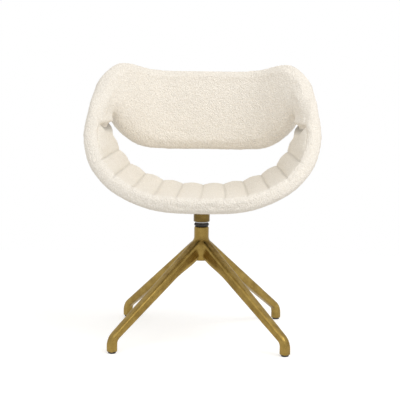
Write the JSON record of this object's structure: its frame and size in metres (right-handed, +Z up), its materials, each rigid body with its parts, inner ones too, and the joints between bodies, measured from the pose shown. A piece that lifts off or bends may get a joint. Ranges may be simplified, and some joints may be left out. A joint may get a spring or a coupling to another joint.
{
  "type": "swivel armchair",
  "caption": "Upholstered tub armchair with a ring-shaped shell, channelled seat and open slot below the back, turning on a splayed cast brass-finish base.",
  "frame": {"origin": "on the floor, on the swivel axis, midway between the feet", "axes": "+Z up along the swivel axis, -Y the way the sitter faces, +X to the right as seen from the front"},
  "size_m": [0.6884, 0.587, 0.8208],
  "materials": {
    "brushed_brass": "brushed, lightly lacquered",
    "turned_steel": "turned",
    "black_coated_steel": "black powder coat",
    "zinc_plated_steel": "zinc plated",
    "sintered_bronze": "sintered, oiled",
    "black_acetal": "moulded",
    "black_rubber": "matt",
    "black_nylon": "moulded",
    "birch_plywood": "raw",
    "moulded_polypropylene": "moulded",
    "ivory_boucle_cover": "looped boucle over foam",
    "ivory_boucle_seat": "fine boucle over channelled foam",
    "ivory_boucle_back": "looped boucle over foam"
  },
  "bodies": {
    "base": {"star_base": "brushed_brass", "foot_glide_front_left": "black_nylon", "foot_glide_front_right": "black_nylon", "foot_glide_rear_left": "black_nylon", "foot_glide_rear_right": "black_nylon", "neck_lower_bush": "black_acetal", "neck_upper_bush": "black_acetal", "thrust_washer": "sintered_bronze", "dust_seal_ring": "black_rubber"},
    "seat": {"swivel_spindle": "turned_steel", "spindle_end_washer": "turned_steel", "spindle_circlip": "turned_steel", "column_sleeve": "brushed_brass", "seat_plate": "black_coated_steel", "mount_block": "birch_plywood", "mounting_bolt_front_left": "zinc_plated_steel", "mounting_bolt_front_right": "zinc_plated_steel", "mounting_bolt_rear_left": "zinc_plated_steel", "mounting_bolt_rear_right": "zinc_plated_steel", "tee_nut_front_left": "zinc_plated_steel", "tee_nut_front_right": "zinc_plated_steel", "tee_nut_rear_left": "zinc_plated_steel", "tee_nut_rear_right": "zinc_plated_steel", "shell_core": "moulded_polypropylene", "outer_cover": "ivory_boucle_cover", "seat_pad": "ivory_boucle_seat", "back_pad": "ivory_boucle_back"}
  },
  "joints": [
    {"name": "seat_swivel", "type": "hinge", "parent": "base", "child": "seat", "pos_m": [0, 0, 0.335], "axis": [0, 0, 1], "continuous": true}
  ]
}
